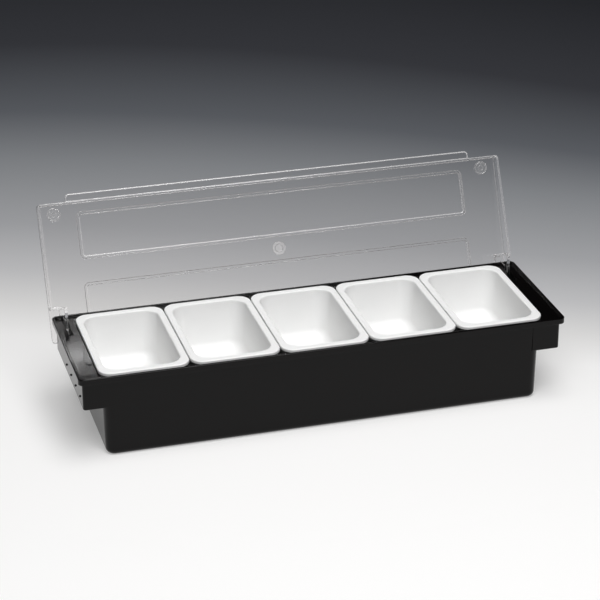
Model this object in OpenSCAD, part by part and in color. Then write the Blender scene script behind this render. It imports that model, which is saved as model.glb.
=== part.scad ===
/* [Base] */
// Overall length, end to end of the rim
body_l = 495; // [420:1:600]
// Overall depth, front to back of the rim
body_d = 148.5; // [122:0.5:180]
// Height from the bench to the top of the rim bead
body_h = 89; // [74:1:110]
// Wall thickness of the base moulding
wall = 2.5; // [2:0.1:3.5]
// Thickness of the tub's floor
floor_t = 3; // [2:0.1:5]
// Height of the rim's outer face
lip_h = 6.3; // [5:0.1:9]
// Width of the raised bead round the rim
bead_w = 3; // [2:0.1:4]
// Height of the bead above the deck
bead_h = 2; // [1:0.1:3]
// Corner radius of the rim
rim_r = 6; // [4:0.5:12]

/* [Tub] */
// Distance from the rim's end to the tub's end wall, under the deck
tub_end_inset = 23.8; // [20:0.1:30]
// Distance from the rim's front edge to the tub's front wall
tub_front_inset = 5; // [4:0.5:8]
// Distance from the rim's rear edge to the tub's rear wall
tub_rear_inset = 8; // [7:0.5:12]
// Corner radius of the tub
tub_r = 9; // [6:0.5:16]
// Rounding of the tub's bottom edge
foot_r = 6; // [1.5:0.5:6]
// Mould draft of the tub's walls, in degrees
tub_draft = 1.2; // [0.5:0.1:3]

/* [Handles] */
// Distance from the rim's end to the face of the handle skirt
skirt_inset = 4; // [3.2:0.1:6]
// Gap from the rim's rear edge to the back of the handle skirt
skirt_rear_inset = 2.5; // [1.5:0.1:4]
// Depth of the handle skirt below the rim's top
skirt_drop = 35; // [28:0.5:45]
// Diameter of the half-round studs along each handle
stud_d = 2.4; // [1.5:0.1:3]
// Spacing of the studs
stud_pitch = 23.3; // [15:0.1:26]
// Number of studs on each handle
stud_count = 4; // [1:1:4]
// Distance from the rim's front edge to the first stud
stud_start = 20.5; // [12:0.5:30]
// Height of the studs above the skirt's lower edge
stud_rise = 8.4; // [4:0.1:12]

/* [Inserts] */
// Number of inserts in a row; one node each
insert_count = 5; // [5]
// Gap between neighbouring inserts
insert_gap = 1; // [0.5:0.1:3]
// Width of the flange that bears on the deck, front and rear
bearing = 3; // [2:0.1:4]
// Width of the flange that bears on the deck at the row's ends
end_bearing = 5; // [3:0.1:6]
// Height of the flange's turned-down edge
flange_h = 3.5; // [2.5:0.1:5]
// Corner radius of the flange
flange_r = 13; // [11:0.5:14]
// How far the flange stands out from the insert's body
flange_w = 5; // [4:0.5:8]
// Depth of an insert, from the top of its flange
insert_depth = 53; // [40:1:60]
// Wall thickness of an insert
insert_wall = 2; // [1.5:0.1:3]
// Mould draft of the insert's walls, in degrees
insert_draft = 4.5; // [2:0.5:6]
// Rounding between the insert's walls and floor
insert_foot_r = 11; // [4:0.5:11]

/* [Lid] */
// Gap from the lid's side to the rim's end
lid_side_inset = 0.6; // [0.3:0.1:2]
// Gap from the closed lid's front face to the rim's front edge
lid_front_inset = 1.5; // [0.5:0.1:3]
// Thickness of the lid's plate
lid_t = 2.5; // [2:0.1:3.5]
// Thickness of the lid's walls
lid_wall = 2.2; // [1.8:0.1:3]
// Inside height of the closed lid above the rim at its front
lid_front_h = 10; // [8:0.5:16]
// Slope of the closed lid, lower at its front, in degrees
lid_slope = 2.9; // [1:0.1:5]
// Gap between the closed lid's walls and the rim
seat_gap = 0.2; // [0.1:0.1:0.5]
// Corner radius of the lid's plate
lid_r = 3; // [2:0.5:6]
// Distance from the pivot to the plate's rear edge, along the plate
lid_rear_reach = 11.8; // [8:0.1:14]
// How far the grip lip stands out in front
grip_w = 8; // [5:0.5:12]
// Distance from the lid's side to the end of the grip lip
grip_inset = 30; // [20:1:60]
// Rounding of the grip lip's ends
grip_r = 4; // [2:0.5:6]
// Distance from the lid's side to the raised panels
panel_inset = 39.7; // [30:0.1:60]
// Height of the raised panels
panel_rise = 1.2; // [0.6:0.1:2]
// Corner radius of the raised panels
panel_r = 5; // [3:0.5:10]
// Distance from the lid's front edge to the front panel
panel_front_inset = 11.5; // [9:0.1:20]
// Distance from the plate's rear edge to the rear panel
panel_rear_inset = 10; // [8:0.1:20]
// Width of the plain band between the two panels
panel_gap = 24.6; // [16:0.1:40]
// Diameter of the raised disc round the moulding gate
gate_d = 14; // [11:0.5:15]
// Diameter of the button in the middle of that disc
pip_d = 8.5; // [5:0.5:10]
// Height of the button above the disc
pip_rise = 0.8; // [0.4:0.1:1.5]
// Diameter of the ring marks in the front corners
ring_d = 13.4; // [10:0.1:15]
// Diameter of the dot in the middle of each ring mark
dot_d = 5; // [3:0.5:7]
// Distance of the ring marks from the lid's side
ring_side = 17; // [14:0.5:24]
// Distance of the ring marks from the lid's front edge
ring_front = 11.4; // [9:0.1:16]
// Height of the gate's disc, the rings and their dots
mark_rise = 0.5; // [0.3:0.1:1]

/* [Hinge] */
// Angle that the lid swings from closed to open, in degrees
open_angle = 117; // [95:0.1:118]
// Distance of the lid's arms from the rim's end
arm_inset = 12.5; // [11.5:0.1:15.5]
// Thickness of the lid's arms
arm_t = 3; // [2:0.1:4]
// Distance from the rim's rear edge to the pivot
pivot_back = 16.2; // [13:0.1:17]
// Distance from the rim's top down to the pivot
pivot_drop = 11; // [10:0.1:13.5]
// Radius of the boss round each trunnion
boss_r = 5; // [4:0.1:6]
// Radius of each trunnion
trunnion_r = 2.95; // [2:0.05:3.5]
// Radial clearance between a trunnion and its bore
trunnion_fit = 0.05; // [0.02:0.01:0.1]
// Thickness of the ear that holds each trunnion
ear_t = 3; // [2:0.1:3.5]
// Height of the arm's front edge above the rim when the lid is open
arm_rise = 17; // [12:0.5:20]
// Clearance on each side of an arm in its slot
slot_fit = 1; // [0.8:0.1:1.2]
// Clearance between an arm and the end of its slot or the rim
arm_fit = 0.8; // [0.3:0.1:1.5]

/* [Hidden] */
$fn = 64;
over = 1;                                   // overshoot of every cut
post_fn = 32;                               // facets round a drafted corner
foot_steps = 6;                             // facets over a drafted box's bottom edge
edge_share = 0.75;                          // flange edge's thickness against the walls
skirt_inner_r = 1;                          // corner radius inside the handles
ring_w = 1.2;                               // width of a ring mark's line
ear_gap = 1;                                // gap between an ear and its slot
deck_z = body_h - bead_h;                   // top of the deck
deck_under = deck_z - wall;                 // underside of the deck
skirt_z = body_h - skirt_drop;              // lower edge of the handles
tub_y0 = -body_d / 2 + tub_front_inset;     // tub's front face at the deck
tub_y1 = body_d / 2 - tub_rear_inset;       // tub's rear face at the deck
tub_mid = (tub_y0 + tub_y1) / 2;
tub_l = body_l - 2 * tub_end_inset;
tub_d = tub_y1 - tub_y0;
skirt_x = body_l / 2 - skirt_inset;
skirt_y0 = tub_y0;
skirt_y1 = body_d / 2 - skirt_rear_inset;

// Inserts: the row fills the tub's mouth and bears on the deck round it
mouth_l = tub_l - 2 * wall;
mouth_d = tub_d - 2 * wall;
mouth_r = tub_r - wall;
insert_pitch = (mouth_l + 2 * end_bearing + insert_gap) / insert_count;
flange_l = insert_pitch - insert_gap;
flange_d = mouth_d + 2 * bearing;

// Lid: drawn round its pivot, lying as when closed and level, rear at +Y
pivot_y = body_d / 2 - pivot_back;
pivot_z = body_h - pivot_drop;
lid_l = body_l - 2 * lid_side_inset;
front_dy = -body_d / 2 + lid_front_inset - pivot_y;
front_dz = pivot_drop + seat_gap + lid_front_h;
lid_y0 = front_dy * cos(lid_slope) + front_dz * sin(lid_slope);
plate_z = front_dz * cos(lid_slope) - front_dy * sin(lid_slope);
lid_y1 = lid_rear_reach;
lid_d = lid_y1 - lid_y0;
rest_turn = lid_slope - open_angle;
arm_x = body_l / 2 - arm_inset;

// Arm's outline, as seen along the hinge line with the lid open
arm_front = 3;                              // front edge ahead of the pivot
arm_back = 6;                               // back edge behind the pivot
arm_top = pivot_drop + arm_rise;
arm_foot = 21;                              // length of the arm's root on the plate
notch_z = pivot_drop + arm_fit / 2;
notch_r = norm([pivot_back, pivot_drop]) + arm_fit;
sweep_r = norm([arm_front, arm_top]);
slot_y0 = pivot_y - sweep_r - arm_fit;
slot_y1 = skirt_y1 - wall;
slot_w = arm_t + 2 * slot_fit;
bore_r = trunnion_r + trunnion_fit;
ear_x1 = arm_x - slot_w / 2 - ear_gap;
ear_x0 = ear_x1 - ear_t;
ear_drop = boss_r + wall;

// Point seen with the lid open, turned into the lid's own frame
function from_open(y, z) = [
    y * cos(rest_turn) + z * sin(rest_turn),
    z * cos(rest_turn) - y * sin(rest_turn)];
arm_tip = from_open(-arm_front, arm_top);
arm_y0 = arm_tip[0];

// Lower edge of the lid's walls, which is level when the lid is closed
function wall_foot(y) = (pivot_drop + seat_gap - y * sin(lid_slope)) / cos(lid_slope);

// Flat block with rounded corners, centred on X, from y0 to y1
module slab(l, y0, y1, z0, z1, r) {
    translate([-l / 2, y0 + r, z0]) cube([l, y1 - y0 - 2 * r, z1 - z0]);
    translate([-l / 2 + r, y0, z0]) cube([l - 2 * r, y1 - y0, z1 - z0]);
    for (x = [-l / 2 + r, l / 2 - r], y = [y0 + r, y1 - r])
        translate([x, y, z0]) cylinder(r = r, h = z1 - z0);
}

// Drafted box with round corners and a rounded bottom edge, its top at z = h
module drafted(l, d, h, r, draft, foot) {
    lean = h * tan(draft);
    profile = concat(
        [[0, 0]],
        [for (i = [0:foot_steps]) let (a = 90 * i / foot_steps)
            [r - foot + foot * sin(a), foot - foot * cos(a)]],
        [[r + lean, h], [0, h]]);
    hull()
        for (x = [-1, 1], y = [-1, 1])
            translate([x * (l / 2 - r - lean), y * (d / 2 - r - lean), 0])
                rotate_extrude($fn = post_fn) polygon(profile);
}

// Rim: a flat deck with a raised bead and a turned-down outer face
module rim() {
    difference() {
        slab(body_l, -body_d / 2, body_d / 2, body_h - lip_h, body_h, rim_r);
        slab(body_l - 2 * bead_w, -body_d / 2 + bead_w, body_d / 2 - bead_w,
            deck_z, body_h + over, rim_r - bead_w);
        slab(body_l - 2 * bead_w, -body_d / 2 + bead_w, body_d / 2 - bead_w,
            body_h - lip_h - over, deck_under, rim_r - bead_w);
    }
}

// Handle skirts: open-bottomed boxes under the deck at both ends
module skirts() {
    end_l = tub_end_inset - skirt_inset + tub_r;
    difference() {
        slab(2 * skirt_x, skirt_y0, skirt_y1, skirt_z, deck_z, rim_r - bead_w);
        slab(2 * (skirt_x - wall), skirt_y0 + wall, skirt_y1 - wall,
            skirt_z - over, deck_under, skirt_inner_r);
        translate([-skirt_x + end_l, -body_d / 2, 0])
            cube([2 * (skirt_x - end_l), body_d, deck_under]);
    }
}

// Studs in a row along the outside of each handle, which keep wet fingers from sliding
module studs() {
    for (side = [0, 1], i = [0:stud_count - 1]) mirror([side, 0, 0])
        translate([skirt_x, -body_d / 2 + stud_start + i * stud_pitch, skirt_z + stud_rise])
            sphere(d = stud_d);
}

// Ears that hold the lid's trunnions, hung from the deck beside the slots
module ears() {
    for (side = [0, 1]) mirror([side, 0, 0])
        translate([ear_x0, 0, 0]) {
            translate([0, pivot_y - ear_drop, pivot_z])
                cube([ear_t, slot_y1 - pivot_y + ear_drop + wall / 2,
                    deck_under + wall / 2 - pivot_z]);
            translate([0, pivot_y, pivot_z]) rotate([0, 90, 0])
                cylinder(r = ear_drop, h = ear_t);
        }
}

module base() {
    cavity_h = deck_z - floor_t;
    color("#1d1c1d") difference() {
        union() {
            rim();
            skirts();
            studs();
            ears();
            translate([0, tub_mid, 0])
                drafted(tub_l, tub_d, deck_z, tub_r, tub_draft, foot_r);
        }
        translate([0, tub_mid, floor_t])
            drafted(mouth_l, mouth_d, cavity_h, mouth_r, tub_draft, foot_r * mouth_r / tub_r);
        translate([0, tub_mid, deck_z - over / 2])
            slab(mouth_l, -mouth_d / 2, mouth_d / 2, 0, over, mouth_r);
        for (side = [0, 1]) mirror([side, 0, 0]) {
            translate([arm_x - slot_w / 2, slot_y0, deck_under - over])
                cube([slot_w, slot_y1 - slot_y0, wall + 2 * over]);
            translate([ear_x0 - over, pivot_y, pivot_z]) rotate([0, 90, 0])
                cylinder(r = bore_r, h = ear_t + 2 * over);
        }
    }
}

// One insert: a drafted pan hung by a flange with a turned-down edge
module pan() {
    body_l1 = flange_l - 2 * flange_w;
    body_d1 = flange_d - 2 * flange_w;
    edge = insert_wall * edge_share;
    difference() {
        union() {
            difference() {
                slab(flange_l, -flange_d / 2, flange_d / 2, 0, flange_h, flange_r);
                slab(flange_l - 2 * edge, -flange_d / 2 + edge, flange_d / 2 - edge,
                    -over, flange_h - insert_wall, flange_r - edge);
            }
            translate([0, 0, flange_h - insert_depth])
                drafted(body_l1, body_d1, insert_depth, flange_r, insert_draft, insert_foot_r);
        }
        translate([0, 0, flange_h - insert_depth + insert_wall])
            drafted(body_l1 - 2 * insert_wall, body_d1 - 2 * insert_wall, insert_depth,
                flange_r - insert_wall, insert_draft, insert_foot_r - insert_wall);
    }
}

module insert(i) {
    color("#f4f4f2")
        translate([(i - (insert_count + 1) / 2) * insert_pitch, tub_mid, deck_z])
            pan();
}

// Lid's plate with its raised panels, grip lip, gate button and ring marks
module plate() {
    panels_l = lid_l - 2 * panel_inset;
    panel_d = (lid_d - panel_front_inset - panel_rear_inset - panel_gap) / 2;
    top_z = plate_z + lid_t;
    front_panel = lid_y0 + panel_front_inset;
    rear_panel = lid_y1 - panel_rear_inset - panel_d;
    difference() {
        union() {
            slab(lid_l, lid_y0, lid_y1, plate_z, top_z, lid_r);
            slab(lid_l - 2 * grip_inset, lid_y0 - grip_w, lid_y0 + grip_r + lid_wall,
                plate_z, top_z, grip_r);
            for (y = [front_panel, rear_panel])
                slab(panels_l, y, y + panel_d, plate_z, top_z + panel_rise, panel_r);
            translate([0, (front_panel + panel_d + rear_panel) / 2, plate_z]) {
                cylinder(d = gate_d, h = lid_t + mark_rise);
                cylinder(d = pip_d, h = lid_t + mark_rise + pip_rise);
            }
            for (x = [-1, 1])
                translate([x * (lid_l / 2 - ring_side), lid_y0 + ring_front, plate_z])
                    cylinder(d = ring_d, h = lid_t + mark_rise);
        }
        for (y = [front_panel, rear_panel])
            slab(panels_l - 2 * lid_t, y + lid_t, y + panel_d - lid_t,
                plate_z - over, plate_z + panel_rise, panel_r - lid_t);
        for (x = [-1, 1])
            translate([x * (lid_l / 2 - ring_side), lid_y0 + ring_front, top_z])
                difference() {
                    cylinder(d = ring_d - 2 * ring_w, h = mark_rise + over);
                    cylinder(d = dot_d, h = mark_rise);
                }
    }
}

// Side wall from the front edge to the arm, with the step in to the arm
module side_wall() {
    rear = arm_y0 + lid_wall;
    translate([lid_l / 2 - lid_wall, 0, 0]) rotate([90, 0, 90]) linear_extrude(lid_wall)
        polygon([[lid_y0 + lid_r, plate_z + lid_wall], [lid_y0 + lid_r, wall_foot(lid_y0 + lid_r)],
            [rear, wall_foot(rear)], [rear, plate_z + lid_wall]]);
    translate([arm_x - arm_t / 2, arm_y0, wall_foot(arm_y0)])
        cube([lid_l / 2 - lid_wall / 2 - arm_x + arm_t / 2, lid_wall,
            plate_z - wall_foot(arm_y0) + lid_wall]);
}

// Front wall, with round corners that meet the side walls
module front_wall() {
    foot = wall_foot(lid_y0);
    back = lid_y0 + 2 * lid_r + over;
    difference() {
        slab(lid_l, lid_y0, back, foot, plate_z + lid_wall, lid_r);
        slab(lid_l - 2 * lid_wall, lid_y0 + lid_wall, back + lid_r,
            foot - over, plate_z + lid_t, lid_r - lid_wall);
        translate([-lid_l / 2 - over, lid_y0 + lid_r, foot - over])
            cube([lid_l + 2 * over, lid_r + 2 * over, plate_z + lid_t - foot + over]);
    }
}

// Arm's outline: a root on the plate, a notch over the rear rim, and the boss
module arm_outline() {
    root = plate_z + lid_t / 2;
    circle(r = boss_r);
    difference() {
        polygon([[arm_y0, root], arm_tip, from_open(-arm_front, 0),
            from_open(arm_back, 0), [arm_y0 + arm_foot, root]]);
        rotate(-rest_turn) intersection() {
            translate([arm_back, -notch_r]) square([notch_r, notch_r + notch_z]);
            circle(r = notch_r);
        }
    }
}

module arm() {
    translate([arm_x - arm_t / 2, 0, 0]) rotate([90, 0, 90]) linear_extrude(arm_t)
        arm_outline();
    translate([ear_x0, 0, 0]) rotate([0, 90, 0])
        cylinder(r = trunnion_r, h = arm_x - ear_x0);
}

module lid() {
    color("#dfe6ea", 0.35) translate([0, pivot_y, pivot_z]) rotate([rest_turn, 0, 0]) {
        plate();
        front_wall();
        for (side = [0, 1]) mirror([side, 0, 0]) {
            side_wall();
            arm();
        }
    }
}

base();
insert(1);  // insert_1
insert(2);  // insert_2
insert(3);  // insert_3
insert(4);  // insert_4
insert(5);  // insert_5
lid();
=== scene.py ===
import math
import bmesh
import bpy
from mathutils import Matrix, Vector


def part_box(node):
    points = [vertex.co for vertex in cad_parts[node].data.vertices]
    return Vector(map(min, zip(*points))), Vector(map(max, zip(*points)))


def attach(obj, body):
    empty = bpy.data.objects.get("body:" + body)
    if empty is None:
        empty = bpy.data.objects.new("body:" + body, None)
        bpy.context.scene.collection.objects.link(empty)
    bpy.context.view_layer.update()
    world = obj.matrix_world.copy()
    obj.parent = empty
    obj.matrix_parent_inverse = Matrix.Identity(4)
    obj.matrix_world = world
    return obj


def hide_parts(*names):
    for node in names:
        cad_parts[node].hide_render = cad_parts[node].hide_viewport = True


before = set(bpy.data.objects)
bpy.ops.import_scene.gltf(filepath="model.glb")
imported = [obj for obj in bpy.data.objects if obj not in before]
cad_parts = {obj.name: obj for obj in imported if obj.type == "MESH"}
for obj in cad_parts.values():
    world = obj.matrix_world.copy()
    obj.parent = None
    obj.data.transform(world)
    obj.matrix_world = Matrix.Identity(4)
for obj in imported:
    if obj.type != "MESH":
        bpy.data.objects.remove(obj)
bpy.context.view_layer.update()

# --- Camera: a long lens on a tripod, in front of the caddy and to its left,
# looking down on it by about a quarter of a right angle.
CAMERA_PLACE = Vector((-0.54738, -1.88340, 1.02351))
CAMERA_YAW = math.radians(15.964)
CAMERA_PITCH = math.radians(25.020)
CAMERA_ROLL = math.radians(-0.149)
FOCAL_LENGTH = 129.95
SENSOR_WIDTH = 36

ahead = Vector((
    math.sin(CAMERA_YAW) * math.cos(CAMERA_PITCH),
    math.cos(CAMERA_YAW) * math.cos(CAMERA_PITCH),
    -math.sin(CAMERA_PITCH)))
level = Vector((math.cos(CAMERA_YAW), -math.sin(CAMERA_YAW), 0))
upward = level.cross(ahead)
across = level * math.cos(CAMERA_ROLL) + upward * math.sin(CAMERA_ROLL)
upward = across.cross(ahead)
camera = bpy.data.objects.new("camera", bpy.data.cameras.new("camera"))
camera.data.lens = FOCAL_LENGTH
camera.data.sensor_width = SENSOR_WIDTH
camera.matrix_world = Matrix((across, upward, -ahead)).transposed().to_4x4()
camera.location = CAMERA_PLACE
bpy.context.scene.collection.objects.link(camera)
bpy.context.scene.camera = camera
bpy.context.scene.view_settings.view_transform = "Standard"


# --- Floor: a sheet of matt white studio paper that runs level under the caddy
# and away behind it, where it turns greyer with painted shade: a soft gradient in its colour for
# the light falling off.
class Socket:
    """One output of a shader node. A sum written with it adds Math nodes."""

    def __init__(self, finish, output):
        self.finish = finish
        self.output = output

    def math(self, operation, first, second):
        """A Math node on two values, each a socket or a number."""
        return self.finish.node("ShaderNodeMath", {"operation": operation}, {0: first, 1: second})

    def __add__(self, other):
        return self.math("ADD", self, other)

    def __radd__(self, other):
        return self.math("ADD", other, self)

    def __sub__(self, other):
        return self.math("SUBTRACT", self, other)

    def __rsub__(self, other):
        return self.math("SUBTRACT", other, self)

    def __mul__(self, other):
        return self.math("MULTIPLY", self, other)

    def __rmul__(self, other):
        return self.math("MULTIPLY", other, self)


class Finish:
    """A material, built one node at a time."""

    def __init__(self, name):
        self.material = bpy.data.materials.new(name)
        self.material.use_nodes = True
        self.tree = self.material.node_tree
        self.tree.nodes.clear()

    def node(self, kind, settings=None, sockets=None, output=0):
        """A node with its settings, then its sockets, set or linked; gives one output."""
        made = self.tree.nodes.new(kind)
        for name, value in (settings or {}).items():
            if name == "stops":
                while len(made.color_ramp.elements) < len(value):
                    made.color_ramp.elements.new(0.5)
                for element, (place, colour) in zip(made.color_ramp.elements, value):
                    element.position = place
                    element.color = (*colour, 1)
            else:
                setattr(made, name, value)
        for name, value in (sockets or {}).items():
            if isinstance(value, Socket):
                self.tree.links.new(value.output, made.inputs[name])
            else:
                made.inputs[name].default_value = value
        return Socket(self, made.outputs[output])

    def show(self, shader):
        """Puts the shader on the surface and gives the material."""
        end = self.tree.nodes.new("ShaderNodeOutputMaterial")
        self.tree.links.new(shader.output, end.inputs["Surface"])
        return self.material


def blend_colours(finish, share, first, second):
    """first where share is 0 and second where it is 1."""
    return finish.node(
        "ShaderNodeMix", {"data_type": "RGBA"},
        {"Factor": share, 6: first, 7: second}, output=2)


FLOOR_SIZE = 14.0
# Painted shade: where the gradient starts, how far it runs, and its slant and bend.
FALLOFF_START = -0.4
FALLOFF_LENGTH = 2.4
FALLOFF_SLANT = 0.12
FALLOFF_BEND = 0.38
FALLOFF_MIDDLE = -0.2
GLOW_SHARE = 0.3
GLOW_STRENGTH = 1.18

paper = Finish("studio_paper")
paper_place = paper.node("ShaderNodeTexCoord", None, None, output=3)
paper_away = paper.node("ShaderNodeSeparateXYZ", None, {0: paper_place}, output=1)
paper_across = paper.node("ShaderNodeSeparateXYZ", None, {0: paper_place}, output=0)
paper_side = paper_across - FALLOFF_MIDDLE
paper_slant = paper_across * FALLOFF_SLANT + paper_side * paper_side * paper_away * FALLOFF_BEND
paper_reach = (paper_away + paper_slant - FALLOFF_START) * (1 / FALLOFF_LENGTH)
# White near the caddy, then painted shade that greys the paper with distance.
paper_colour_and_falloff = paper.node("ShaderNodeValToRGB", {
    "stops": [
        (0.0, (0.94, 0.935, 0.93)),
        (0.17, (0.93, 0.925, 0.92)),
        (0.212, (0.88, 0.875, 0.87)),
        (0.246, (0.71, 0.705, 0.70)),
        (0.283, (0.54, 0.54, 0.55)),
        (0.34, (0.38, 0.385, 0.40)),
        (0.43, (0.25, 0.26, 0.275)),
        (0.505, (0.122, 0.130, 0.145)),
        (0.63, (0.048, 0.050, 0.058)),
        (1.0, (0.014, 0.015, 0.018)),
    ]}, {"Fac": paper_reach})
paper_grain = paper.node("ShaderNodeTexNoise", None, {
    "Vector": paper_place, "Scale": 900.0, "Detail": 2.0})
paper_bump = paper.node("ShaderNodeBump", None, {
    "Height": paper_grain, "Strength": 0.05, "Distance": 0.0002})
paper_plain = paper.node("ShaderNodeBsdfPrincipled", None, {
    "Base Color": paper_colour_and_falloff, "Roughness": 0.9, "Specular IOR Level": 0.1,
    "Normal": paper_bump})
paper_glow = paper.node("ShaderNodeEmission", None, {
    "Color": paper_colour_and_falloff, "Strength": GLOW_STRENGTH})
paper_seen = paper.node("ShaderNodeMixShader", None, {
    0: GLOW_SHARE, 1: paper_plain, 2: paper_glow})

# The camera, reflections and the clear lid see some glow in the paper. It lights nothing.
camera_ray = paper.node("ShaderNodeLightPath", None, None, output=0)
glossy_ray = paper.node("ShaderNodeLightPath", None, None, output=3)
through_ray = paper.node("ShaderNodeLightPath", None, None, output=6)
paper_sheet = paper.show(paper.node("ShaderNodeMixShader", None, {
    0: camera_ray + glossy_ray + through_ray, 1: paper_plain, 2: paper_seen}))

floor_mesh = bmesh.new()
bmesh.ops.create_grid(floor_mesh, x_segments=4, y_segments=4, size=FLOOR_SIZE / 2)
floor_data = bpy.data.meshes.new("floor")
floor_mesh.to_mesh(floor_data)
floor_mesh.free()
floor_data.materials.append(paper_sheet)
floor = bpy.data.objects.new("floor", floor_data)
floor.rotation_euler = (0, 0, -CAMERA_YAW)
bpy.context.scene.collection.objects.link(floor)


# --- Lights: a wide soft box in front, a brighter one nearly overhead on the right, a weak
# one all over, and a narrow strip far behind, which the left end of the deck mirrors.
def soft_box(name, width, height, place, aim, radiance):
    """An area light with that radiance, turned to face a point."""
    lamp = bpy.data.lights.new(name, "AREA")
    lamp.shape = "RECTANGLE"
    lamp.size = width
    lamp.size_y = height
    lamp.energy = math.pi * width * height * radiance
    hung = bpy.data.objects.new(name, lamp)
    hung.location = place
    hung.rotation_euler = (Vector(aim) - Vector(place)).to_track_quat("-Z", "Y").to_euler()
    bpy.context.scene.collection.objects.link(hung)


soft_box("front", 1.7, 1.2, (-0.14, -1.30, 1.90), (0, 0, 0.1), 5.0)
soft_box("top", 0.9, 0.9, (0.14, -0.25, 2.05), (0, 0, 0.05), 6.6)
soft_box("overhead", 1.8, 2.0, (0.0, -0.20, 1.80), (0.0, -0.20, 0), 0.30)
soft_box("back_strip", 0.50, 0.032, (-0.09, 1.80, 0.996), (-0.09, 0, 0.996), 6.0)

# The room is dark, with pale walls that only the clear lid shows, through its edges.
room = bpy.data.worlds.new("room")
room.use_nodes = True
room_nodes = room.node_tree.nodes
room_dark = room_nodes["Background"]
room_dark.inputs["Color"].default_value = (0.010, 0.010, 0.011, 1)
room_pale = room_nodes.new("ShaderNodeBackground")
room_pale.inputs["Color"].default_value = (0.30, 0.29, 0.29, 1)
room_ray = room_nodes.new("ShaderNodeLightPath")
room_mix = room_nodes.new("ShaderNodeMixShader")
for source, target in (
        (room_ray.outputs["Is Transmission Ray"], room_mix.inputs[0]),
        (room_dark.outputs[0], room_mix.inputs[1]),
        (room_pale.outputs[0], room_mix.inputs[2]),
        (room_mix.outputs[0], room_nodes["World Output"].inputs["Surface"])):
    room.node_tree.links.new(source, target)
bpy.context.scene.world = room


# --- Base: one injection moulding in glossy black plastic. A tub with a flat deck
# round its mouth, a raised bead round the deck, and an open-bottomed handle
# under each end of the deck.
def rounded(corners):
    """A path through (outset, height, radius) corners, with each corner rounded."""
    path = []
    for i, (outset, height, radius) in enumerate(corners):
        here = Vector((outset, height))
        if radius == 0:
            path.append(here)
            continue
        before = (Vector(corners[i - 1][:2]) - here).normalized()
        after = (Vector(corners[i + 1][:2]) - here).normalized()
        half = before.angle(after) / 2
        centre = here + (before + after).normalized() * (radius / math.sin(half))
        start = here + before * (radius / math.tan(half)) - centre
        end = here + after * (radius / math.tan(half)) - centre
        sweep = start.angle_signed(end)
        steps = max(3, round(abs(math.degrees(sweep)) / 15))
        for step in range(steps + 1):
            turn = Matrix.Rotation(-sweep * step / steps, 2)
            path.append(centre + turn @ start)
    return path


def corner_loop(half_l, y0, y1, radius, height, steps=12):
    """The points of a rectangle with round corners, anticlockwise from above."""
    loop = []
    for x, y, start in (
            (half_l - radius, y1 - radius, 0), (radius - half_l, y1 - radius, 90),
            (radius - half_l, y0 + radius, 180), (half_l - radius, y0 + radius, 270)):
        for step in range(steps + 1):
            angle = math.radians(start + 90 * step / steps)
            loop.append((x + radius * math.cos(angle), y + radius * math.sin(angle), height))
    return loop


def swept_round(outline, corners):
    """Loops that carry a rounded path round an outline, each set out or in from it."""
    half_l, y0, y1, radius = outline
    return [
        corner_loop(half_l + out, y0 - out, y1 + out, max(radius + out, 0.0002), height)
        for out, height in rounded(corners)]


def skin(mesh, loops, closed=True):
    """Faces between neighbouring loops; a closed loop also joins end to start."""
    rows = [[mesh.verts.new(point) for point in loop] for loop in loops]
    count = len(rows[0])
    for low, high in zip(rows, rows[1:]):
        for i in range(count if closed else count - 1):
            j = (i + 1) % count
            mesh.faces.new((low[i], low[j], high[j], high[i]))
    return rows


def finish_piece(name, mesh, body, nodes, material):
    """Makes an object of the mesh, smooth over its rounded edges, and lets it ride."""
    bmesh.ops.recalc_face_normals(mesh, faces=mesh.faces)
    data = bpy.data.meshes.new(name)
    mesh.to_mesh(data)
    mesh.free()
    data.shade_smooth()
    data.materials.append(material)
    piece = bpy.data.objects.new(name, data)
    bpy.context.scene.collection.objects.link(piece)
    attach(piece, body)
    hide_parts(*nodes)
    return piece


SHARP_TURN = math.radians(50)


def weighted(piece):
    """Flat faces shade flat and the rounding between them takes up the turn."""
    piece.data.set_sharp_from_angle(angle=SHARP_TURN)
    normals = piece.modifiers.new("normals", "WEIGHTED_NORMAL")
    normals.keep_sharp = True
    normals.weight = 100


base_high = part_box("base")[1]
HALF_LENGTH = base_high.x
HALF_DEPTH = base_high.y
RIM_TOP = base_high.z
WALL = 0.0025
FLOOR_THICK = 0.003
LIP = 0.0063
BEAD_WIDTH = 0.003
DECK = RIM_TOP - 0.002
DECK_UNDER = DECK - WALL
RIM_CORNER = 0.006
TUB_HALF = HALF_LENGTH - 0.0238
TUB_FRONT = -HALF_DEPTH + 0.005
TUB_BACK = HALF_DEPTH - 0.008
TUB_CORNER = 0.0108
TUB_LEAN = math.tan(math.radians(1.2))
FOOT = 0.006
INNER_FOOT = 0.0043
FLAT_INSET = 0.012
DECK_INSET = 0.008

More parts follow.
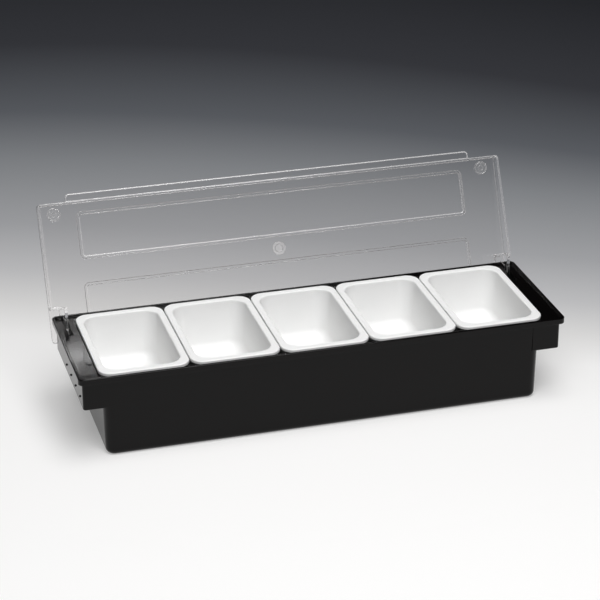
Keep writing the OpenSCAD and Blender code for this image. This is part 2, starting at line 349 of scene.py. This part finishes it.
rim_outline = (HALF_LENGTH, -HALF_DEPTH, HALF_DEPTH, RIM_CORNER)
tub_outline = (TUB_HALF, TUB_FRONT, TUB_BACK, TUB_CORNER)
inside = swept_round(tub_outline, [
    (-FLAT_INSET, FLOOR_THICK, 0),
    (-WALL - TUB_LEAN * (DECK - FLOOR_THICK), FLOOR_THICK, INNER_FOOT),
    (-WALL, DECK, 0.0008),
    (0.001, DECK, 0),
])
rim = swept_round(rim_outline, [
    (-DECK_INSET, DECK, 0),
    (-BEAD_WIDTH, DECK, 0.0006),
    (-BEAD_WIDTH, RIM_TOP, 0.0009),
    (0, RIM_TOP, 0.0009),
    (0, RIM_TOP - LIP, 0.0006),
    (-BEAD_WIDTH, RIM_TOP - LIP, 0.0006),
    (-BEAD_WIDTH, DECK_UNDER, 0.0004),
    (-DECK_INSET, DECK_UNDER, 0),
])
outside = swept_round(tub_outline, [
    (0.002, DECK_UNDER, 0),
    (0, DECK_UNDER, 0.0005),
    (-TUB_LEAN * DECK_UNDER, 0, FOOT),
    (-FLAT_INSET, 0, 0),
])
tub_mesh = bmesh.new()
tub_rows = skin(tub_mesh, inside + rim + outside)
tub_mesh.faces.new(tub_rows[0])
tub_mesh.faces.new(tub_rows[-1])

SKIRT_HALF = HALF_LENGTH - 0.004
SKIRT_LOW = RIM_TOP - 0.035
SKIRT_BACK = HALF_DEPTH - 0.0025
SKIRT_ROOT = SKIRT_HALF - 0.0288
SKIRT_CORNER = 0.003
SUNK = DECK_UNDER + 0.001


def skirt_path(side):
    """Points and outward directions along the handle's wall, seen from above."""
    path = [(SKIRT_ROOT, TUB_FRONT, 0, -1)]
    for x, y, start in (
            (SKIRT_HALF - SKIRT_CORNER, TUB_FRONT + SKIRT_CORNER, 270),
            (SKIRT_HALF - SKIRT_CORNER, SKIRT_BACK - SKIRT_CORNER, 0)):
        for step in range(9):
            angle = math.radians(start + 90 * step / 8)
            away = (math.cos(angle), math.sin(angle))
            path.append((x + SKIRT_CORNER * away[0], y + SKIRT_CORNER * away[1], *away))
    path.append((SKIRT_ROOT, SKIRT_BACK, 0, 1))
    return [(side * x, y, side * out_x, out_y) for x, y, out_x, out_y in path]


def skirt_loops(side):
    """The handle's wall at each point of its path: down its face, round, and up."""
    wall = rounded([
        (0, SUNK, 0),
        (0, SKIRT_LOW, 0.0009),
        (-WALL, SKIRT_LOW, 0.0009),
        (-WALL, SUNK, 0)])
    return [
        [(x + out_x * out, y + out_y * out, height) for out, height in wall]
        for x, y, out_x, out_y in skirt_path(side)]


for side in (-1, 1):
    skirt_rows = skin(tub_mesh, skirt_loops(side), closed=False)
    tub_mesh.faces.new(skirt_rows[0])
    tub_mesh.faces.new(skirt_rows[-1])
    for low, high in zip(skirt_rows, skirt_rows[1:]):
        tub_mesh.faces.new((low[0], high[0], high[-1], low[-1]))

STUD_COUNT = 4
STUD_RADIUS = 0.0012
STUD_FIRST = -HALF_DEPTH + 0.0205
STUD_PITCH = 0.0233
STUD_HEIGHT = SKIRT_LOW + 0.0084
for side in (-1, 1):
    for number in range(STUD_COUNT):
        place = (side * SKIRT_HALF, STUD_FIRST + number * STUD_PITCH, STUD_HEIGHT)
        bmesh.ops.create_uvsphere(
            tub_mesh, u_segments=16, v_segments=10, radius=STUD_RADIUS,
            matrix=Matrix.Translation(place))

PIVOT_Y = HALF_DEPTH - 0.0162
PIVOT_Z = RIM_TOP - 0.011
EAR_RADIUS = 0.0075
EAR_BACK = SKIRT_BACK - WALL / 2
EAR_INNER = HALF_LENGTH - 0.019
EAR_OUTER = EAR_INNER + 0.003
EAR_EDGE = 0.0004


def ear_outline(inset):
    """The ear seen along the hinge line: round below the pivot, square at its back."""
    radius = EAR_RADIUS - inset
    under = [
        (PIVOT_Y + radius * math.cos(math.radians(angle)),
         PIVOT_Z + radius * math.sin(math.radians(angle)))
        for angle in range(180, 361, 12)]
    return [(PIVOT_Y - radius, SUNK)] + under + [
        (PIVOT_Y + radius, PIVOT_Z + inset), (EAR_BACK - inset, PIVOT_Z + inset),
        (EAR_BACK - inset, SUNK)]


for side in (-1, 1):
    ear_loops = [
        [(side * x, y, z) for y, z in ear_outline(inset)]
        for x, inset in (
            (EAR_INNER, EAR_EDGE), (EAR_INNER + EAR_EDGE, 0),
            (EAR_OUTER - EAR_EDGE, 0), (EAR_OUTER, EAR_EDGE))]
    ear_rows = skin(tub_mesh, ear_loops)
    tub_mesh.faces.new(ear_rows[0])
    tub_mesh.faces.new(ear_rows[-1])

black = Finish("black_plastic")
black_place = black.node("ShaderNodeTexCoord", None, None, output=3)
black_cloud = black.node("ShaderNodeTexNoise", None, {
    "Vector": black_place, "Scale": 14.0, "Detail": 4.0})
black_grain = black.node("ShaderNodeTexNoise", None, {
    "Vector": black_place, "Scale": 1400.0, "Detail": 2.0})
black_bump = black.node("ShaderNodeBump", None, {
    "Height": black_grain, "Strength": 0.06, "Distance": 0.0001})
black_colour = blend_colours(
    black, black_cloud, (0.0015, 0.0012, 0.0012, 1), (0.0025, 0.002, 0.002, 1))
black_shader = black.node("ShaderNodeBsdfPrincipled", None, {
    "Base Color": black_colour,
    "Roughness": 0.03 + black_cloud * 0.03,
    "IOR": 1.5,
    "Specular IOR Level": 0.18,
    "Normal": black_bump})
base = finish_piece(
    "base_moulding", tub_mesh, "base", ["base"], black.show(black_shader))

ARM_X = HALF_LENGTH - 0.0125
ARM_SWEEP = math.hypot(0.003, 0.028)
SLOT_HALF = 0.0025
SLOT_PLAY = 0.0008
SLOT_CORNER = 0.0004
SLOT_FRONT = PIVOT_Y - ARM_SWEEP - SLOT_PLAY
SLOT_BACK = SKIRT_BACK - WALL
BORE_RADIUS = 0.003
CUT_PAST = 0.003
cut_mesh = bmesh.new()
for side in (-1, 1):
    slot = [
        [(x + side * ARM_X, y, z) for x, y, z in corner_loop(
            SLOT_HALF, SLOT_FRONT, SLOT_BACK, SLOT_CORNER, height, steps=4)]
        for height in (DECK_UNDER - CUT_PAST, DECK + CUT_PAST)]
    rows = skin(cut_mesh, slot)
    cut_mesh.faces.new(rows[0])
    cut_mesh.faces.new(rows[-1])
    bore_middle = Vector((side * (EAR_INNER + EAR_OUTER) / 2, PIVOT_Y, PIVOT_Z))
    bmesh.ops.create_cone(
        cut_mesh, cap_ends=True, segments=32, radius1=BORE_RADIUS, radius2=BORE_RADIUS,
        depth=EAR_OUTER - EAR_INNER + 0.002,
        matrix=Matrix.Translation(bore_middle) @ Matrix.Rotation(math.pi / 2, 4, "Y"))
bmesh.ops.recalc_face_normals(cut_mesh, faces=cut_mesh.faces)
cut_data = bpy.data.meshes.new("slots_and_bores")
cut_mesh.to_mesh(cut_data)
cut_mesh.free()
cutter = bpy.data.objects.new("slots_and_bores", cut_data)
bpy.context.scene.collection.objects.link(cutter)


def cut_away(piece, cutter):
    """Cuts the cutter out of the piece for good, and throws the cutter away."""
    cut = piece.modifiers.new("cut", "BOOLEAN")
    cut.operation = "DIFFERENCE"
    cut.solver = "EXACT"
    cut.use_self = True
    cut.object = cutter
    bpy.context.view_layer.objects.active = piece
    bpy.ops.object.modifier_apply(modifier=cut.name)
    bpy.data.objects.remove(cutter)


cut_away(base, cutter)
weighted(base)


# --- Inserts: five open pans, thin white plastic mouldings that hang in a row by
# their flanges, which rest on the deck. Each lifts out by itself. The white is painted
# darker towards the bottom of each pan: painted shade.
INSERT_WALL = 0.002
FLANGE_STAND = 0.0035
FLANGE_WIDTH = 0.005
FLANGE_EDGE = 0.0015
FLANGE_CORNER = 0.013
INSERT_DEPTH = 0.053
INSERT_LEAN = math.tan(math.radians(4.5))
INSERT_CORNER = FLANGE_CORNER + INSERT_LEAN * INSERT_DEPTH
INSERT_FOOT = 0.011
INSERT_FLAT = 0.0165
SHADE_TOP_HEIGHT = 0.088
SHADE_RATE = 24

white = Finish("white_plastic")
white_place = white.node("ShaderNodeTexCoord", None, None, output=3)
white_cloud = white.node("ShaderNodeTexNoise", None, {
    "Vector": white_place, "Scale": 22.0, "Detail": 3.0})
white_grain = white.node("ShaderNodeTexNoise", None, {
    "Vector": white_place, "Scale": 1100.0, "Detail": 2.0})
white_bump = white.node("ShaderNodeBump", None, {
    "Height": white_grain, "Strength": 0.04, "Distance": 0.0001})
# Painted shade: the white turns darker from the flange down to the bottom of each pan.
white_unshaded = blend_colours(
    white, white_cloud, (0.90, 0.90, 0.895, 1), (0.92, 0.92, 0.915, 1))
white_painted_shade = blend_colours(
    white, white_cloud, (0.84, 0.84, 0.835, 1), (0.86, 0.86, 0.855, 1))
white_height = white.node("ShaderNodeSeparateXYZ", None, {0: white_place}, output=2)
white_shade_share = (SHADE_TOP_HEIGHT - white_height) * SHADE_RATE
white_colour = blend_colours(white, white_shade_share, white_unshaded, white_painted_shade)
white_shader = white.node("ShaderNodeBsdfPrincipled", None, {
    "Base Color": white_colour,
    "Roughness": 0.30 + white_cloud * 0.14,
    "IOR": 1.49,
    "Specular IOR Level": 0.2,
    "Normal": white_bump})
white_skin = white.show(white_shader)

for number in range(1, 6):
    low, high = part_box(f"insert_{number}")
    middle = (low.x + high.x) / 2
    half = (high.x - low.x) / 2
    top = high.z
    flange = (half, low.y, high.y, FLANGE_CORNER)
    shell = (half - FLANGE_WIDTH, low.y + FLANGE_WIDTH, high.y - FLANGE_WIDTH, INSERT_CORNER)
    pan_loops = swept_round(shell, [
        (-INSERT_FLAT, top - INSERT_DEPTH + INSERT_WALL, 0),
        (-INSERT_WALL - INSERT_LEAN * (INSERT_DEPTH - INSERT_WALL),
         top - INSERT_DEPTH + INSERT_WALL, INSERT_FOOT - INSERT_WALL),
        (-INSERT_WALL, top, 0.0016),
        (-0.0002, top, 0),
    ]) + swept_round(flange, [
        (-0.003, top, 0),
        (0, top, 0.0013),
        (0, top - FLANGE_STAND, 0.0005),
        (-FLANGE_EDGE, top - FLANGE_STAND, 0.0005),
        (-FLANGE_EDGE, top - INSERT_WALL, 0.0004),
        (-0.0025, top - INSERT_WALL, 0),
    ]) + swept_round(shell, [
        (0.001, top - INSERT_WALL, 0),
        (0, top - INSERT_WALL, 0.0004),
        (-INSERT_LEAN * INSERT_DEPTH, top - INSERT_DEPTH, INSERT_FOOT),
        (-INSERT_FLAT, top - INSERT_DEPTH, 0),
    ])
    pan_mesh = bmesh.new()
    pan_rows = skin(pan_mesh, pan_loops)
    pan_mesh.faces.new(pan_rows[0])
    pan_mesh.faces.new(pan_rows[-1])
    for vertex in pan_mesh.verts:
        vertex.co.x += middle
    weighted(finish_piece(
        f"insert_pan_{number}", pan_mesh, f"insert_{number}", [f"insert_{number}"],
        white_skin))


# --- Lid: one moulding in clear plastic, a plate with low walls, two raised
# panels and a grip lip, hung on two arms that turn on trunnions in the base.
clear = Finish("clear_plastic")
clear_place = clear.node("ShaderNodeTexCoord", None, None, output=3)
clear_cloud = clear.node("ShaderNodeTexNoise", None, {
    "Vector": clear_place, "Scale": 9.0, "Detail": 2.0})
clear_bump = clear.node("ShaderNodeBump", None, {
    "Height": clear_cloud, "Strength": 0.02, "Distance": 0.002})
clear_colour = blend_colours(
    clear, clear_cloud, (0.985, 0.98, 0.98, 1), (0.995, 0.99, 0.99, 1))
clear_glass = clear.node("ShaderNodeBsdfPrincipled", None, {
    "Base Color": clear_colour,
    "Roughness": 0.02,
    "IOR": 1.57,
    "Transmission Weight": 1.0,
    "Normal": clear_bump})


def let_through(finish, body, tint):
    """The body, but a plain tint to shadow rays and to light that comes off matt surfaces."""
    passing = finish.node("ShaderNodeBsdfTransparent", None, {"Color": tint})
    shadow = finish.node("ShaderNodeLightPath", None, None, output=1)
    bounce = finish.node("ShaderNodeLightPath", None, None, output=2)
    return finish.show(finish.node("ShaderNodeMixShader", None, {
        0: shadow + bounce, 1: body, 2: passing}))


clear_skin = let_through(clear, clear_glass, (0.94, 0.94, 0.94, 1))


def frost_and_highlight(name, haze_and_highlight, roughness):
    """Clear plastic with a white haze in it: frosting on a cut gate, a painted highlight on a
    rounded edge.
    """
    finish = Finish(name)
    place = finish.node("ShaderNodeTexCoord", None, None, output=3)
    cloud = finish.node("ShaderNodeTexNoise", None, {
        "Vector": place, "Scale": 160.0, "Detail": 2.0})
    glass = finish.node("ShaderNodeBsdfPrincipled", None, {
        "Base Color": (0.99, 0.985, 0.985, 1),
        "Roughness": roughness,
        "IOR": 1.57,
        "Transmission Weight": 1.0})
    glow = finish.node("ShaderNodeBsdfPrincipled", None, {
        "Base Color": blend_colours(
            finish, cloud, (0.93, 0.91, 0.91, 1), (0.97, 0.95, 0.95, 1)),
        "Roughness": 0.3})
    body = finish.node("ShaderNodeMixShader", None, {
        0: haze_and_highlight * 0.8 + cloud * (haze_and_highlight * 0.4), 1: glass, 2: glow})
    return let_through(finish, body, (0.9, 0.9, 0.9, 1))


# The open lid's turn, and its plate's front edge and underside as seen from the trunnions
# before that turn.
PLATE_SLOPE = 2.9
OPEN_TURN = 117
LID_TURN = math.radians(PLATE_SLOPE - OPEN_TURN)
LID_FRONT = -0.12956
LID_PLATE = 0.02779
PLATE_THICK = 0.0025
# The gate's disc and the ring marks on the plate.
MARK_REACH = 0.0078
MARK_LOW = PLATE_THICK - 0.0001
MARK_HIGH = PLATE_THICK + 0.0008
GATE_ALONG = 0.0714
RING_SIDE = HALF_LENGTH - 0.0176
RING_ALONG = 0.0114
# Where the sorts of edge start and end, from the lid's middle, its front and its plate.
ARM_SIDE = HALF_LENGTH - 0.0105
ARM_ALONG = 0.1
LIP_ALONG = -0.0001
WALL_FREE = -0.0099
WALL_STEP = 0.003
ARM_FOOT = -0.0149
ARM_FRONT = 0.1055
END_WALL = HALF_LENGTH - 0.0035
INNER_SIDE = HALF_LENGTH - 0.0025
INNER_ALONGS = (0.0018, 0.138)
INNER_HIGH = 0.0005
PANEL_SIDE = HALF_LENGTH - 0.039
PANEL_ALONGS = (0.0105, 0.133)
# Rounding, and the materials' places on the lid.
EDGE_ROUND = 0.0012
EDGE_STEPS = 4
CREASE = math.radians(55)
FLAT = math.radians(1)
EDGE_SLOT = 1
GATE_SLOT = 2
RING_SLOT = 3
# Cuts that keep each flat face simple, with no hole in it.
CORNER_SIDE = HALF_LENGTH - 0.005
CUT_SIDES = (-CORNER_SIDE, -RING_SIDE, 0, RING_SIDE, CORNER_SIDE)
CUT_ALONGS = (0.0038, 0.104)
to_plate = Matrix.Rotation(-LID_TURN, 4, "X") @ Matrix.Translation((0, -PIVOT_Y, -PIVOT_Z))


def on_plate(point):
    """A point of the lid as distance from its middle, from its front, and above its plate."""
    place = to_plate @ point
    return abs(place.x), place.y - LID_FRONT, place.z - LID_PLATE


def in_mark(point):
    """Whether a point lies on the gate's disc or on one of the two ring marks."""
    side, along, up = on_plate(point)
    from_gate = math.hypot(side, along - GATE_ALONG)
    from_ring = math.hypot(side - RING_SIDE, along - RING_ALONG)
    return up > MARK_LOW and min(from_gate, from_ring) < MARK_REACH


def edge_share(edge):
    """How much of the full rounding an edge takes: less where the plastic is thin."""
    middle = (edge.verts[0].co + edge.verts[1].co) / 2
    side, along, up = on_plate(middle)
    if in_mark(middle):
        return 0.55 if up > MARK_HIGH else 0.22
    if along > ARM_ALONG and side < ARM_SIDE and up < 0:
        return 0.25
    if along < LIP_ALONG:
        return 1
    if up < WALL_FREE and abs(along - WALL_STEP) < 0.0002:
        return 0.08
    if up < ARM_FOOT and abs(along - ARM_FRONT) < 0.002 and side > END_WALL:
        return 0.08
    if INNER_ALONGS[0] < along < INNER_ALONGS[1] and side < INNER_SIDE and up < INNER_HIGH:
        return 0.35
    if PANEL_ALONGS[0] < along < PANEL_ALONGS[1] and side < PANEL_SIDE:
        return 0.42
    return 0.67


EDGE_LIKE = math.radians(50)
FLAT_LIKE = math.radians(25)


def square_up(mesh):
    """Points each corner of a flat face straight out, so that flats shade flat."""
    around = [[] for vertex in mesh.vertices]
    for face in mesh.polygons:
        for corner in face.vertices:
            around[corner].append(face)
    normals = []
    for face in mesh.polygons:
        reach = EDGE_LIKE if face.material_index == EDGE_SLOT else FLAT_LIKE
        for corner in face.vertices:
            near = [other for other in around[corner]
                    if other.normal.angle(face.normal, 0) < reach]
            plain = [other for other in near if other.material_index != EDGE_SLOT]
            total = Vector()
            for other in plain or near:
                total += other.normal * other.area
            normals.append(total.normalized())
    mesh.normals_split_custom_set(normals)


lid_mesh = bmesh.new()
lid_mesh.from_mesh(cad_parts["lid"].data)
bmesh.ops.remove_doubles(lid_mesh, verts=lid_mesh.verts, dist=0.00001)
from_plate = to_plate.inverted()
down_plate = from_plate.to_3x3() @ Vector((0, 1, 0))
cuts = [((side, 0, 0), (1, 0, 0)) for side in CUT_SIDES]
cuts += [(from_plate @ Vector((0, LID_FRONT + along, LID_PLATE)), down_plate)
         for along in CUT_ALONGS]
cuts.append(((0, PIVOT_Y, 0), (0, 1, 0)))
for cut_at, facing in cuts:
    cut = bmesh.ops.bisect_plane(
        lid_mesh, geom=lid_mesh.verts[:] + lid_mesh.edges[:] + lid_mesh.faces[:],
        dist=0.000001, plane_co=cut_at, plane_no=facing)
    for part in cut["geom_cut"]:
        if isinstance(part, bmesh.types.BMEdge):
            part.seam = True
bmesh.ops.dissolve_limit(
    lid_mesh, angle_limit=FLAT, verts=lid_mesh.verts, edges=lid_mesh.edges,
    delimit={"SEAM"})
share_layer = lid_mesh.edges.layers.float.new("bevel_weight_edge")
for edge in lid_mesh.edges:
    if edge.calc_face_angle(0) > CREASE:
        edge[share_layer] = edge_share(edge)
for face in lid_mesh.faces:
    if all(in_mark(corner.co) for corner in face.verts):
        near_gate = on_plate(face.calc_center_median())[0] < MARK_REACH
        face.material_index = GATE_SLOT if near_gate else RING_SLOT
lid = finish_piece("lid_cover", lid_mesh, "lid", ["lid"], clear_skin)
# The rounded edges take a white haze, a painted highlight that brightens them.
lid.data.materials.append(frost_and_highlight("clear_plastic_edge_highlight", 0.25, 0.05))
lid.data.materials.append(frost_and_highlight("clear_plastic_gate", 0.30, 0.15))
lid.data.materials.append(frost_and_highlight("clear_plastic_ring", 0.06, 0.05))
bevel = lid.modifiers.new("rounding", "BEVEL")
bevel.width = EDGE_ROUND
bevel.segments = EDGE_STEPS
bevel.limit_method = "WEIGHT"
bevel.use_clamp_overlap = False
bevel.material = EDGE_SLOT
rounded_lid = bpy.data.meshes.new_from_object(
    lid.evaluated_get(bpy.context.evaluated_depsgraph_get()))
lid.modifiers.clear()
lid.data = rounded_lid
square_up(rounded_lid)
